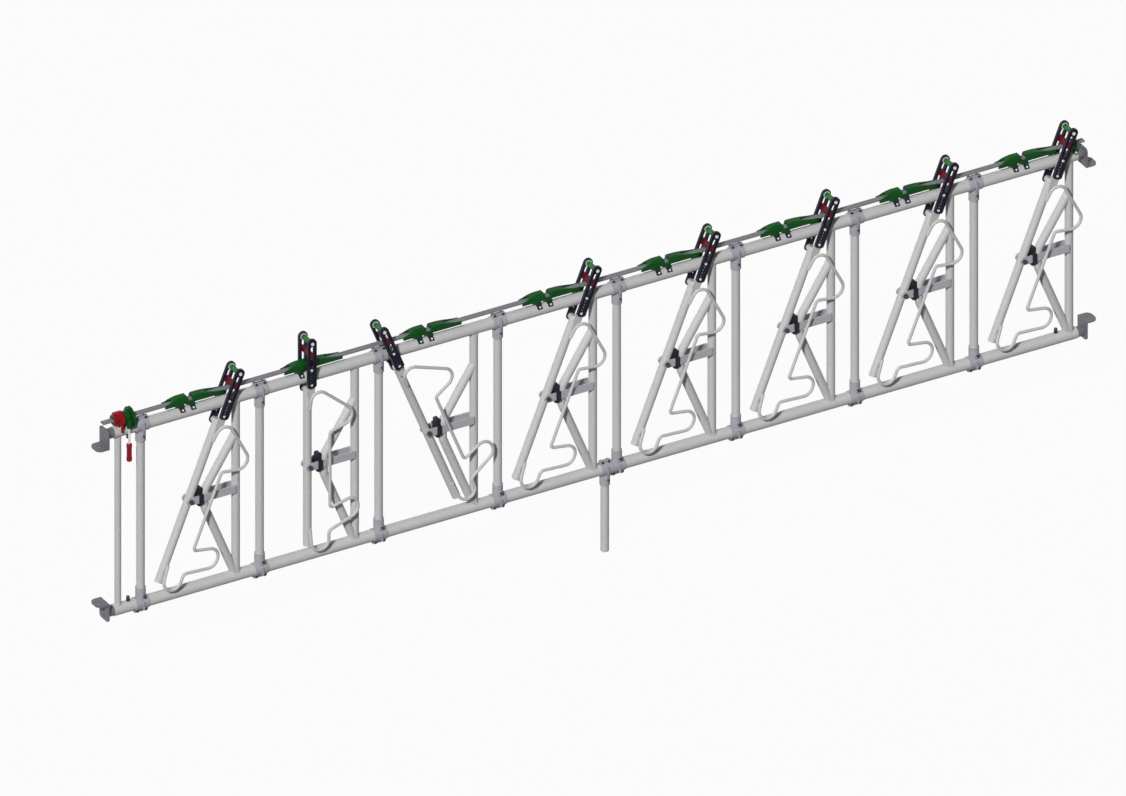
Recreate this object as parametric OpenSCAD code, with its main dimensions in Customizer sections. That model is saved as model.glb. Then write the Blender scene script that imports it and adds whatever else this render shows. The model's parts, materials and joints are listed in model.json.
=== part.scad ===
// Self-locking headlock for cattle: a feed-front panel with equal places side by side.
// Millimetres. The origin is on the floor under the middle of the support leg, +X runs along the
// rails away from the lever, -Y faces the viewer of the front side and +Z is up.

/* [Panel] */
// Number of places
places = 8; // [3:1:10]
// Distance from one place to the next
pitch = 666; // [650:1:760]
// Height of the bottom rail's axis above the floor
bottom_rail_z = 460; // [350:1:600]
// Distance between the axes of the two rails
rail_spacing = 995; // [960:1:1080]
// Height of the pivots above the bottom rail's axis
pivot_rise = 497; // [485:1:520]
// Distance from a divider to the pivot on its right
pivot_offset = 267; // [262:1:285]
// Distance from a divider to the bay post on its right
post_offset = 532; // [525:1:545]
// Overhang of the rails to the left of the first divider
left_overhang = 157; // [150:1:190]
// Overhang of the rails to the right of the last bay post
right_overhang = 38; // [36:1:60]
// Swing of a stanchion to each side
swing = 22; // [19:1:22]
// Place that is drawn locked, upright
locked_place = 2; // [1:1:3]
// Place that is drawn released, leaning left
released_place = 3; // [1:1:3]

/* [Tubes] */
// Outer diameter of the rails
rail_d = 60.3; // [57:0.1:63.5]
// Wall of the rails
rail_wall = 3; // [2:0.1:4]
// Outer diameter of the posts, dividers, struts and stanchions
tube_d = 42.4; // [40:0.1:45]
// Wall of the posts, dividers, struts and stanchions
tube_wall = 2.9; // [2:0.1:4]
// Outer diameter of the end post
end_post_d = 33.7; // [26:0.1:42.4]
// Distance from the first divider to the end post
end_post_offset = 127; // [110:1:135]
// Outer diameter of the support leg
leg_d = 42.4; // [38:0.1:45]
// Distance from the leg to the divider on its right
leg_offset = 67; // [67:1:90]

/* [Struts and pivot bars] */
// Distance from the pivot to the strut's apex
apex_x = 91; // [88:1:100]
// Height of the strut's lower bend from the pivot
apex_low = -67; // [-75:1:-60]
// Height of the strut's upper bend from the pivot
apex_high = 31; // [26:1:40]
// Height from the pivot where the strut's axis meets the bay post's
strut_top = 304; // [280:1:330]
// Height of the pivot bars
bar_h = 40; // [34:1:44]
// Thickness of the pivot bars
bar_t = 8; // [6:0.5:9]
// Distance from the end of a pivot bar to the bay post's axis
bar_short = 12; // [6:1:14]
// Diameter of the pivot bolts
pivot_bolt_d = 16; // [12:1:18]
// Radius of the strut's two bends
strut_bend = 50; // [30:1:80]

/* [Stanchions] */
// Diameter of the guard rod
guard_d = 16; // [12:1:18]
// Distance from the stanchion's axis to the straight stretch of the guard rod
guard_x = 101; // [96:1:110]
// Reach of the guard rod's upper loop
upper_reach = 225; // [210:1:235]
// Reach of the guard rod's lower loop
lower_reach = 258; // [240:1:262]
// Gap between the stanchion's top and the top rail
top_gap = 28; // [24:1:34]
// Gap between the stanchion's foot and the bottom rail
foot_gap = 22; // [18:1:30]

/* [Forks and latches] */
// Width of the fork's cheeks
cheek_w = 50; // [46:1:54]
// Thickness of the fork's cheeks with their ribs
cheek_t = 12.5; // [11:0.5:15]
// Width of the fork's steel plates
fork_plate_w = 44; // [40:1:46]
// Thickness of the fork's steel plates
fork_plate_t = 6; // [4:0.5:8]
// Height of the spool's axis above the control bar's axis, upright
spool_rise = 136; // [130:1:150]
// Diameter of the spool
spool_d = 26; // [22:1:30]
// Width of the latch
latch_w = 16; // [13:1:18]
// Height of the latch
latch_h = 36; // [30:1:40]

/* [Control] */
// Height of the control bar's axis above the top rail's surface
bar_rise = 38; // [36:1:42]
// Width of the control bar
control_w = 30; // [26:1:32]
// Thickness of the control bar
control_t = 10; // [8:0.5:12]
// Width of the grooves along the control bar
groove_w = 2; // [1:0.5:3]
// Height of a lock housing's left hump above the control bar
left_hump = 24; // [20:1:26]
// Height of a lock housing's right hump above the control bar
right_hump = 18; // [17:1:22]
// Length of the lever's grip
grip_l = 98; // [80:1:120]
// Diameter of the lever's grip
grip_d = 28; // [24:1:32]
// Diameter of the lever's rod
rod_d = 12; // [10:1:14]

/* [Telescopic ends] */
// Distance from the rails' left ends to the brackets
left_out = 40; // [32:1:80]
// Distance from the rails' right ends to the brackets
right_out = 35; // [32:1:80]
// Length of the inner tubes inside the rails
inner_l = 300; // [250:1:400]
// Width of the brackets
bracket_w = 87; // [70:1:100]
// Reach of the brackets' flanges
flange_l = 66; // [55:1:80]
// Corner radius of the brackets' flanges
flange_corner = 30; // [10:1:34]
// Thickness of the brackets
bracket_t = 8; // [6:0.5:10]
// Radius of the hole in the flanges
flange_hole_r = 8; // [5:0.5:10]
// Radius of the holes in the plates
plate_hole_r = 5.5; // [4:0.5:6]
// Distance between the two holes in a plate
plate_hole_gap = 30; // [26:1:32]

/* [Hidden] */
$fn = 48;
weld_gap = 0.05;
fit_gap = 0.1;
slide_gap = 0.3;
run_gap = 0.08;
over = 1;
bend_lap = 0.4;
bend_step = 0.1;
cope_trim = 3;

rail_r = rail_d / 2;
tube_r = tube_d / 2;
end_post_r = end_post_d / 2;
leg_r = leg_d / 2;
top_rise = rail_spacing - pivot_rise;
top_rail_z = bottom_rail_z + rail_spacing;
pivot_z = bottom_rail_z + pivot_rise;
post_x = post_offset - pivot_offset;
leg_index = floor(places / 2);
first_divider = leg_offset - leg_index * pitch;
rail_left = first_divider - left_overhang;
rail_right = first_divider + (places - 1) * pitch + post_offset + right_overhang;
leans = [for (i = [1 : places]) i == locked_place ? 0 : i == released_place ? -swing : swing];

// Pivot bars, bolts and rubber buffers
bar_in = tube_r + weld_gap;
bar_out = bar_in + bar_t;
bolt_r = pivot_bolt_d / 2;
bush_r = bolt_r + 4;
bolt_head_r = pivot_bolt_d * 0.78;
bolt_head_h = pivot_bolt_d * 0.55;
buffer_half = bar_out + 3.7;
buffer_left = 45;
buffer_right = apex_x - tube_r - slide_gap;
buffer_shoulder = bar_h / 2 + 6;
pad_half = 16;
pad_down = 46;
pad_up = 58;
pad_corner = 8;

// Stanchion, seen upright from its pivot
tube_top = top_rise - rail_r - top_gap;
tube_foot = -(pivot_rise - rail_r - foot_gap);
cap_t = 4;
vent_r = 5;
guard_r = guard_d / 2;
guard_weld = 1;
guard_y = -(buffer_half + 4 + guard_r);
guard_on_tube = -(tube_r + guard_r - guard_weld);
upper_past = 56;
weld_on_drop = 112;
peak_rise = 25;
upper_vertex_drop = 213;
waist_drop = 261;
waist_rise = 199;
lower_vertex_rise = 236;
lower_turn_rise = 130;
ankle_rise = 74;
ankle_in = 6;
rod_below = 20;
rod_end_rise = 100;
peak_bend = 43;
upper_bend = 51.5;
waist_bend = 15;
lower_bend = 50;
ankle_bend = 25;
foot_bend = 46;
guard_path = [
    [0, guard_on_tube, tube_top - weld_on_drop],
    [ankle_in, guard_y, tube_top + peak_rise],
    [upper_reach + upper_past, guard_y, tube_top - upper_vertex_drop],
    [guard_x, guard_y, tube_top - waist_drop],
    [guard_x, guard_y, tube_foot + waist_rise],
    [lower_reach, guard_y, tube_foot + lower_vertex_rise],
    [lower_reach, guard_y, tube_foot + lower_turn_rise],
    [guard_x - ankle_in, guard_y, tube_foot + ankle_rise],
    [guard_x - ankle_in - 1, guard_y, tube_foot - rod_below],
    [1, guard_y, tube_foot - rod_below],
    [0, guard_on_tube, tube_foot + rod_end_rise]
];
guard_bends = [0, peak_bend, upper_bend, waist_bend, waist_bend, lower_bend, lower_bend, ankle_bend,
    foot_bend, foot_bend, 0];

// T-clamps
band_r = rail_r + 3.85;
band_l = 72;
leg_band_l = 60;
sleeve_wall = 4.8;
sleeve_end = 87;
ear_in = 2;
ear_t = 7;
ear_top = band_r + 12;
ear_bolt_in = 13;
clamp_bolt_r = 4;
clamp_head_r = 7;
clamp_head_h = 5;
clamp_rib_w = 9;
clamp_rib_out = 5;
clamp_boss_z = 50;
clamp_boss_r = 9;
clamp_boss_out = 8;

// Fork
plate_in = rail_r + 1.1;
plate_out = plate_in + fork_plate_t;
plate_r = fork_plate_w / 2;
boss_r = 16;
boss_z = tube_top - 18;
cheek_in = plate_out + fit_gap;
cheek_web = 5;
cheek_out = cheek_in + cheek_t;
cheek_r = cheek_w / 2;
cheek_rim = 4;
cheek_foot = tube_top + 15;
cheek_toe = 8;
rung_t = 4;
bar_axis = top_rise + rail_r + bar_rise;
bar_top = bar_axis + control_t / 2;
spool_z = bar_axis + spool_rise;
spool_r = spool_d / 2;
spool_bolt_r = 5;
washer_r = 17;
washer_t = 2;
latch_r = latch_w / 2;
latch_rest = 0.4;
latch_low = (bar_top + latch_rest + latch_r) / cos(swing);
latch_out = cheek_out - 1;
slot_gap = 0.5;
slot_rim = 3;
slot_low = bar_top + latch_r - 2;
slot_high = spool_z - spool_r - latch_r - 4;
plate_bolts = [cheek_foot + 14, slot_low - latch_r - 18];
plate_bolt_r = 4;
plate_head_r = 7;
plate_head_h = 4;
plate_top = plate_bolts[1] - 8;
windows = 4;
window_w = 11;
window_pitch = (plate_bolts[1] - plate_bolts[0] - 2 * plate_head_r - rung_t - 1) / windows;
window_low = plate_bolts[0] + plate_head_r + rung_t / 2 + 0.5;

// Control bar and what turns with it or carries it
control_left = rail_left - 58;
control_right = rail_right + 43;
control_wall = 2;
control_corner = 2;
groove_y = control_w / 6;
groove_deep = 1;
bush_out = control_w / 2 + 3;
cavity_r = bush_out + run_gap;
housing_half = cavity_r + 3.9;
housing_low = -13;
left_tip = -139;
right_tip = 186;
left_peak = -50;
right_peak = 26;
notch_half = 11;
notch_floor = -2;
ramp_steps = 10;
bush_t = 12;
bush_places = [-48, 22];
saddle_r = rail_r + 5;
saddle_l = 26;
saddle_places = [-44, 16];
saddle_low = -rail_r - bar_rise + 17;
screw_r = 3;
screw_head_r = 5;
screw_head_h = 3;
rail_from_bar = -(rail_r + bar_rise);

// Lever unit, from left to right along the bar
sleeve_r = control_w / 2 + 7;
sleeve_left = rail_left;
selector_boss_l = 15;
selector_l = 36;
selector_r = rail_r + bar_rise - rail_r - 1;
selector_boss_r = 27;
selector_x = sleeve_left + selector_boss_l;
hub_gap = 6;
hub_x = selector_x + selector_l + hub_gap;
hub_l = 28;
hub_r = 31;
index_x = hub_x + hub_l + 3;
index_t = 16;
index_r = 46;
index_low = rail_from_bar + 21;
lever_y = -(rail_r + 10);
socket_r = 12;
socket_low = rail_from_bar + 25;
rod_top = -8;
grip_top = rail_from_bar - 62;
grip_bore_l = 60;
grip_waist = 2;
pin_r = 7;
pin_y = -(rail_r + pin_r + 2);
pin_low = rail_from_bar + 7;
selector_lug = 24;
bearing_t = 16;
bearing_x = rail_right - 4 - bearing_t;
bearing_r = cavity_r + 6;

// Telescopic ends
inner_r = rail_r - rail_wall - slide_gap;
inner_wall = 3;
plate_far = 66;
plate_near = 37;
plate_corner = 18;
flange_hole_x = 35;
plate_hole_mid = -2;
set_left = rail_left + 87;
set_right = rail_right - 112;
set_r = 6;
set_nut_r = 11;
set_nut_h = 11;
set_head_r = 10;
set_head_h = 8;

// Leg
foot_t = 6;
plug_l = 26;
leg_wall = 3;

galvanised = [0.80, 0.80, 0.79];
casting = [0.66, 0.65, 0.70];
dark_plastic = [0.09, 0.09, 0.12];
green_plastic = [0.10, 0.45, 0.12];
red_plastic = [0.75, 0.08, 0.10];
rubber = [0.07, 0.07, 0.09];
steel = [0.62, 0.62, 0.64];

FIXED = [
    "top_rail", "bottom_rail", "end_post", "bay_posts", "bay_struts", "pivot_bars", "pivot_bolts",
    "buffers", "dividers", "tee_clamps", "clamp_bolts", "support_leg", "foot_cap", "set_bolts",
    "end_top_left", "end_top_right", "end_bottom_left", "end_bottom_right", "lock_housings",
    "housing_screws", "index_plate", "end_bearing", "control_bar", "bar_bushes", "lever_hub",
    "lever_rod", "lever_grip", "selector"
];
MOVING = ["stanchion_", "fork_", "spool_", "latch_"];

function divider_x(i) = first_divider + (i - 1) * pitch;
function pivot_x(i) = divider_x(i) + pivot_offset;
function unit(v) = v / norm(v);
function ease(t) = (1 - cos(180 * t)) / 2;

// A round tube along +Z
module tube(r, wall, l) {
    difference() {
        cylinder(r = r, h = l);
        translate([0, 0, -over]) cylinder(r = r - wall, h = l + 2 * over);
    }
}

// A rod along X, centred on its middle
module along_x(r, l) {
    rotate([0, 90, 0]) cylinder(r = r, h = l, center = true);
}

// A rod along Y, centred on its middle
module along_y(r, l) {
    rotate([90, 0, 0]) cylinder(r = r, h = l, center = true);
}

// A flat shape drawn in X and Z, given a thickness from y = low to y = high
module flat(low, high) {
    translate([0, high, 0]) rotate([90, 0, 0]) linear_extrude(high - low) children();
}

// A shape drawn in Y and Z, given a length from x = low to x = high
module section(low, high) {
    translate([low, 0, 0]) rotate([90, 0, 90]) linear_extrude(high - low) children();
}

// A rectangle with round corners, from its low corner to its high corner
module round_rect(x0, y0, x1, y1, r) {
    translate([x0 + r, y0]) square([x1 - x0 - 2 * r, y1 - y0]);
    translate([x0, y0 + r]) square([x1 - x0, y1 - y0 - 2 * r]);
    for (x = [x0 + r, x1 - r]) for (y = [y0 + r, y1 - r]) translate([x, y]) circle(r);
}

// A slot or bar with round ends, standing up
module stadium(r, low, high) {
    translate([-r, low]) square([2 * r, high - low]);
    for (z = [low, high]) translate([0, z]) circle(r);
}

module at_pivot(i) {
    translate([pivot_x(i), 0, pivot_z]) children();
}

module at_stanchion(i) {
    at_pivot(i) rotate([0, leans[i - 1], 0]) children();
}

module at_bar() {
    translate([0, 0, pivot_z + bar_axis]) children();
}

// The rails as cutters, a little larger than the real ones
module rails_cut(gap = weld_gap) {
    for (z = [bottom_rail_z, top_rail_z])
        translate([(rail_left + rail_right) / 2, 0, z])
            along_x(rail_r + gap, rail_right - rail_left + 2 * over);
}

// One straight stretch of a rod
module rod_stretch(a, b, r) {
    d = b - a;
    l = norm(d);
    pitch_angle = acos(d[2] / l);
    turn = atan2(d[1], d[0]);
    translate(a) rotate([0, pitch_angle, turn]) cylinder(r = r, h = l);
}

// One round bend of a rod, from direction a to direction b
module rod_bend(corner, a, b, bend, r) {
    angle = acos(a * b);
    inward = unit(b - a * (a * b));
    n = cross(a, inward);
    c = corner - a * bend * tan(angle / 2) + inward * bend;
    multmatrix([
        [-inward[0], a[0], n[0], c[0]],
        [-inward[1], a[1], n[1], c[1]],
        [-inward[2], a[2], n[2], c[2]],
        [0, 0, 0, 1]
    ]) rotate_extrude(angle = angle) translate([bend, 0]) circle(r);
}

// A rod bent at each inner point of a path, with its own bend radius there
module bent_rod(path, bends, r) {
    last = len(path) - 1;
    way = [for (i = [0 : last - 1]) unit(path[i + 1] - path[i])];
    trim = [for (i = [0 : last])
        i == 0 || i == last ? 0 : bends[i] * tan(acos(way[i - 1] * way[i]) / 2) - bend_lap];
    for (i = [0 : last - 1])
        rod_stretch(path[i] + way[i] * trim[i], path[i + 1] - way[i] * trim[i + 1], r - bend_step);
    for (i = [1 : last - 1])
        rod_bend(path[i], way[i - 1], way[i], bends[i], r);
}

// A hexagon bolt along -Y, its head outside, its shank running to +Y
module hex_bolt(head_y, shank, r, head_r, head_h) {
    translate([0, head_y - head_h, 0]) rotate([-90, 0, 0]) {
        cylinder(r = head_r, h = head_h, $fn = 6);
        cylinder(r = r, h = head_h + shank);
    }
}

module hex_nut(y, r, nut_r, h) {
    translate([0, y, 0]) rotate([-90, 0, 0]) difference() {
        cylinder(r = nut_r, h = h, $fn = 6);
        translate([0, 0, -over]) cylinder(r = r + weld_gap, h = h + 2 * over);
    }
}

module rail() {
    translate([rail_left, 0, 0]) rotate([0, 90, 0]) tube(rail_r, rail_wall, rail_right - rail_left);
}

// Holes in a rail for its two set bolts, on the side given by turn
module set_holes(turn) {
    for (x = [set_left, set_right])
        translate([x, 0, 0]) rotate([turn, 0, 0]) cylinder(r = set_r + slide_gap, h = rail_r + over);
}

module top_rail() {
    color(galvanised) translate([0, 0, top_rail_z]) difference() {
        rail();
        set_holes(180);
    }
}

module bottom_rail() {
    color(galvanised) translate([0, 0, bottom_rail_z]) difference() {
        rail();
        set_holes(0);
    }
}

// A tube between the two rails, coped to both
module rail_to_rail(r, wall) {
    translate([0, 0, bottom_rail_z]) tube(r, wall, rail_spacing);
}

module end_post() {
    color(galvanised) difference() {
        translate([first_divider - end_post_offset, 0, 0]) rail_to_rail(end_post_r, tube_wall);
        rails_cut();
    }
}

module bay_posts() {
    color(galvanised) difference() {
        for (i = [1 : places]) translate([divider_x(i) + post_offset, 0, 0])
            rail_to_rail(tube_r, tube_wall);
        rails_cut();
    }
}

// A strut's axis, from the foot of the bay post round the apex to the post again
strut_axis = [[post_x, 0, -pivot_rise], [apex_x, 0, apex_low], [apex_x, 0, apex_high],
    [post_x, 0, strut_top]];

// The strut's round outside or its bore, run past both ends by l and bent at the apex's two corners
module strut_run(r, l) {
    foot = strut_axis[0] + unit(strut_axis[0] - strut_axis[1]) * l;
    head = strut_axis[3] + unit(strut_axis[3] - strut_axis[2]) * l;
    bent_rod([foot, strut_axis[1], strut_axis[2], head], [0, strut_bend, strut_bend, 0], r);
}

module strut() {
    difference() {
        strut_run(tube_r, tube_r);
        strut_run(tube_r - tube_wall, 2 * tube_r);
        translate([post_x, 0, -pivot_rise - over]) cylinder(r = tube_r + weld_gap, h = rail_spacing);
        translate([post_x - cope_trim, -2 * tube_r, -pivot_rise])
            cube([4 * tube_r, 4 * tube_r, rail_spacing]);
        translate([post_x, 0, -pivot_rise]) along_x(rail_r + weld_gap, 8 * rail_r);
        translate([post_x - 4 * rail_r, -4 * tube_r, -pivot_rise - 8 * tube_r])
            cube([8 * rail_r, 8 * tube_r, 8 * tube_r]);
    }
}

module bay_struts() {
    color(galvanised) for (i = [1 : places]) at_pivot(i) strut();
}

module pivot_bar() {
    difference() {
        flat(-bar_out, -bar_in) {
            translate([0, -bar_h / 2]) square([post_x - bar_short, bar_h]);
            circle(bar_h / 2);
        }
        along_y(bolt_r + fit_gap, 4 * bar_out);
    }
}

module pivot_bars() {
    color(casting) for (i = [1 : places]) at_pivot(i) {
        pivot_bar();
        mirror([0, 1, 0]) pivot_bar();
    }
}

module pivot_bolts() {
    color(steel) for (i = [1 : places]) at_pivot(i) {
        hex_bolt(-bar_out, 2 * bar_out + bolt_head_h + 4, bolt_r, bolt_head_r, bolt_head_h);
        hex_nut(bar_out, bolt_r, bolt_head_r, bolt_head_h);
    }
}

// Rubber block threaded on the two pivot bars, with a pad above and a pad below
module buffer() {
    difference() {
        union() {
            flat(-buffer_half, buffer_half)
                round_rect(buffer_left, -buffer_shoulder, buffer_right, buffer_shoulder, 5);
            flat(-pad_half, pad_half)
                round_rect(buffer_left, -pad_down, buffer_right, pad_up, pad_corner);
        }
        for (side = [-1, 1]) translate([buffer_left - over, side * (bar_in + bar_t / 2)
            - bar_t / 2 - fit_gap, -bar_h / 2 - fit_gap])
            cube([buffer_right - buffer_left + 2 * over, bar_t + 2 * fit_gap, bar_h + 2 * fit_gap]);
    }
}

module buffers() {
    color(rubber) for (i = [1 : places]) at_pivot(i) buffer();
}

module dividers() {
    color(galvanised) difference() {
        for (i = [1 : places]) translate([divider_x(i), 0, 0]) rail_to_rail(tube_r, tube_wall);
        rails_cut(fit_gap);
    }
}

// Clamp whose band holds the rail and whose sleeve, of inner radius r, points down
module tee_clamp(r, l) {
    sleeve_out = r + sleeve_wall;
    difference() {
        union() {
            along_x(band_r, l);
            translate([0, 0, -sleeve_end]) cylinder(r = sleeve_out, h = sleeve_end);
            for (side = [-1, 1]) translate([-l / 2, side > 0 ? ear_in : -ear_in - ear_t, 0])
                cube([l, ear_t, ear_top]);
            flat(-band_r - clamp_rib_out, 0) stadium(clamp_rib_w / 2, -14, 22);
            translate([0, -sleeve_out - clamp_boss_out, -clamp_boss_z]) rotate([-90, 0, 0])
                cylinder(r = clamp_boss_r, h = sleeve_out + clamp_boss_out);
        }
        along_x(rail_r + fit_gap, l + 2 * over);
        translate([0, 0, -sleeve_end - over]) cylinder(r = r, h = sleeve_end);
        translate([-l / 2 - over, -ear_in, 0]) cube([l + 2 * over, 2 * ear_in, ear_top + over]);
        for (x = [ear_bolt_in - l / 2, l / 2 - ear_bolt_in]) translate([x, 0, ear_top - 6])
            along_y(clamp_bolt_r + fit_gap, 4 * band_r);
        translate([0, -2 * sleeve_out, -clamp_boss_z]) rotate([-90, 0, 0])
            cylinder(r = clamp_bolt_r + fit_gap, h = 2 * sleeve_out);
    }
}

module tee_clamp_bolts(r, l) {
    sleeve_out = r + sleeve_wall;
    for (x = [ear_bolt_in - l / 2, l / 2 - ear_bolt_in]) translate([x, 0, ear_top - 6]) {
        hex_bolt(-ear_in - ear_t, 2 * (ear_in + ear_t) + clamp_head_h + 2, clamp_bolt_r, clamp_head_r,
            clamp_head_h);
        hex_nut(ear_in + ear_t, clamp_bolt_r, clamp_head_r, clamp_head_h);
    }
    translate([0, 0, -clamp_boss_z]) hex_bolt(-sleeve_out - clamp_boss_out,
        sleeve_wall + clamp_boss_out - fit_gap, clamp_bolt_r, clamp_head_r, clamp_head_h);
}

// Calls its children at each clamp of a divider, sleeve downwards
module at_divider_clamps() {
    for (i = [1 : places]) translate([divider_x(i), 0, 0]) {
        translate([0, 0, top_rail_z]) children();
        translate([0, 0, bottom_rail_z]) mirror([0, 0, 1]) children();
    }
}

module tee_clamps() {
    color(casting) {
        at_divider_clamps() tee_clamp(tube_r + fit_gap, band_l);
        translate([0, 0, bottom_rail_z]) tee_clamp(leg_r + fit_gap, leg_band_l);
    }
}

module clamp_bolts() {
    color(steel) {
        at_divider_clamps() tee_clamp_bolts(tube_r + fit_gap, band_l);
        translate([0, 0, bottom_rail_z]) tee_clamp_bolts(leg_r + fit_gap, leg_band_l);
    }
}

module support_leg() {
    color(galvanised) difference() {
        translate([0, 0, foot_t]) tube(leg_r, leg_wall, bottom_rail_z - foot_t);
        rails_cut(fit_gap);
    }
}

module foot_cap() {
    color(steel) {
        cylinder(r1 = leg_r - 3, r2 = leg_r, h = 3);
        translate([0, 0, 3]) cylinder(r = leg_r, h = foot_t - 3);
        cylinder(r = leg_r - leg_wall - fit_gap, h = plug_l);
    }
}

// Inner tube with its angle bracket, the outer end towards +X, the flange below
module telescopic_end(out) {
    difference() {
        union() {
            translate([-out - inner_l, 0, 0]) rotate([0, 90, 0]) cylinder(r = inner_r, h = out + inner_l);
            section(0, bracket_t) difference() {
                round_rect(-bracket_w / 2, -plate_far, bracket_w / 2, plate_near, plate_corner);
                translate([-bracket_w, -plate_far - over]) square([2 * bracket_w, over]);
            }
            section(0, bracket_t) translate([-bracket_w / 2, -plate_far])
                square([bracket_w, plate_far]);
            translate([0, 0, -plate_far]) linear_extrude(bracket_t) intersection() {
                round_rect(-2 * flange_corner, -bracket_w / 2, flange_l, bracket_w / 2, flange_corner);
                translate([0, -bracket_w / 2]) square([flange_l, bracket_w]);
            }
        }
        translate([-out - inner_l - over, 0, 0]) rotate([0, 90, 0])
            cylinder(r = inner_r - inner_wall, h = out + inner_l + over);
        for (z = [-1, 1]) translate([0, 0, plate_hole_mid + z * plate_hole_gap / 2])
            along_x(plate_hole_r, 4 * bracket_t);
        translate([flange_hole_x, 0, -plate_far - over]) cylinder(r = flange_hole_r, h = 2 * bracket_t);
    }
}

module end_top_right() {
    color(casting) translate([rail_right + right_out, 0, top_rail_z]) telescopic_end(right_out);
}

module end_bottom_right() {
    color(casting) translate([rail_right + right_out, 0, bottom_rail_z]) mirror([0, 0, 1])
        telescopic_end(right_out);
}

module end_top_left() {
    color(casting) translate([rail_left - left_out, 0, top_rail_z]) mirror([1, 0, 0])
        telescopic_end(left_out);
}

module end_bottom_left() {
    color(casting) translate([rail_left - left_out, 0, bottom_rail_z]) mirror([1, 0, 0])
        mirror([0, 0, 1]) telescopic_end(left_out);
}

// Set bolt in its nut, pointing down from the rail's axis
module set_bolt() {
    tip = inner_r + slide_gap;
    nut = rail_r + weld_gap;
    rotate([180, 0, 0]) {
        translate([0, 0, tip]) cylinder(r = set_r, h = nut + set_nut_h + 6 - tip);
        translate([0, 0, nut + set_nut_h + 5]) cylinder(r = set_head_r, h = set_head_h, $fn = 6);
        difference() {
            translate([0, 0, rail_r - 3]) cylinder(r = set_nut_r, h = set_nut_h + 3, $fn = 6);
            along_x(nut, 4 * set_nut_r);
            cylinder(r = set_r + weld_gap, h = 2 * rail_r);
        }
    }
}

module set_bolts() {
    color(steel) for (x = [set_left, set_right]) {
        translate([x, 0, top_rail_z]) set_bolt();
        translate([x, 0, bottom_rail_z]) mirror([0, 0, 1]) set_bolt();
    }
}

// Outline of a lock housing seen from the front: ramp, hump, notch, hump and ramp
function housing_top(x) =
    x < left_peak - 8 ? control_t / 2 + left_hump * ease((x - left_tip) / (left_peak - 8 - left_tip))
    : x < -notch_half - 8 ? control_t / 2 + left_hump
    : x < -notch_half ? notch_floor + (control_t / 2 + left_hump - notch_floor)
        * ease((-notch_half - x) / 8)
    : x < notch_half ? notch_floor
    : x < notch_half + 8 ? notch_floor + (control_t / 2 + right_hump - notch_floor)
        * ease((x - notch_half) / 8)
    : x < right_peak + 14 ? control_t / 2 + right_hump
    : control_t / 2 + right_hump * ease((right_tip - x) / (right_tip - right_peak - 14));

ramp_left = [for (i = [0 : ramp_steps]) left_tip + (left_peak - 8 - left_tip) * i / ramp_steps];
notch_stops = [-notch_half - 8, -notch_half - 6, -notch_half - 4, -notch_half - 2, -notch_half,
    notch_half, notch_half + 2, notch_half + 4, notch_half + 6, notch_half + 8];
ramp_right = [for (i = [0 : ramp_steps])
    right_peak + 14 + (right_tip - right_peak - 14) * i / ramp_steps];

module housing_outline() {
    stops = concat(ramp_left, notch_stops, ramp_right);
    polygon(concat([[right_tip, housing_low], [left_tip, housing_low]],
        [for (x = stops) [x, housing_top(x)]]));
}

// Cross-section that gives the housing its chamfered shoulders
module housing_section() {
    tall = control_t / 2 + left_hump;
    polygon([[-housing_half, housing_low - over], [housing_half, housing_low - over],
        [housing_half, tall - 14], [housing_half - 9, tall + over], [9 - housing_half, tall + over],
        [-housing_half, tall - 14]]);
}

// Foot that sits on the top rail, from x = -l / 2 to l / 2, drawn from the bar's axis
module saddle(l, half, top) {
    intersection() {
        union() {
            translate([0, 0, rail_from_bar]) along_x(saddle_r, l);
            translate([-l / 2, -half, rail_from_bar]) cube([l, 2 * half, top - rail_from_bar]);
        }
        translate([-l, -2 * saddle_r, saddle_low]) cube([2 * l, 4 * saddle_r, top - saddle_low]);
    }
}

module saddle_screw_holes(r) {
    for (side = [-1, 1]) translate([0, 0, rail_from_bar]) rotate([side * 45, 0, 0])
        cylinder(r = r, h = 2 * rail_r);
}

module saddle_screws() {
    for (side = [-1, 1]) translate([0, 0, rail_from_bar]) rotate([side * 45, 0, 0]) {
        translate([0, 0, rail_r + fit_gap]) cylinder(r = screw_r, h = saddle_r - rail_r);
        translate([0, 0, saddle_r]) cylinder(r = screw_head_r, h = screw_head_h);
    }
}

// Flat seats for the screws' heads
module saddle_seats() {
    for (side = [-1, 1]) translate([0, 0, rail_from_bar]) rotate([side * 45, 0, 0])
        translate([0, 0, saddle_r]) cylinder(r = screw_head_r + fit_gap, h = saddle_r);
}

module lock_housing() {
    difference() {
        union() {
            intersection() {
                flat(-housing_half, housing_half) housing_outline();
                section(left_tip, right_tip) housing_section();
            }
            for (x = saddle_places) translate([x, 0, 0]) saddle(saddle_l, 15, housing_low + over);
        }
        translate([(left_tip + right_tip) / 2, 0, 0]) along_x(cavity_r, right_tip - left_tip + 2 * over);
        translate([0, 0, rail_from_bar]) along_x(rail_r + fit_gap, right_tip - left_tip);
        for (x = saddle_places) translate([x, 0, 0]) {
            saddle_screw_holes(screw_r + fit_gap);
            saddle_seats();
        }
    }
}

module lock_housings() {
    color(green_plastic) for (i = [1 : places]) translate([pivot_x(i), 0, 0]) at_bar() lock_housing();
}

module housing_screws() {
    color(steel) {
        for (i = [1 : places]) for (x = saddle_places)
            translate([pivot_x(i) + x, 0, 0]) at_bar() saddle_screws();
        translate([index_x + index_t / 2, 0, 0]) at_bar() saddle_screws();
        translate([bearing_x + bearing_t / 2, 0, 0]) at_bar() saddle_screws();
    }
}

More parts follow.
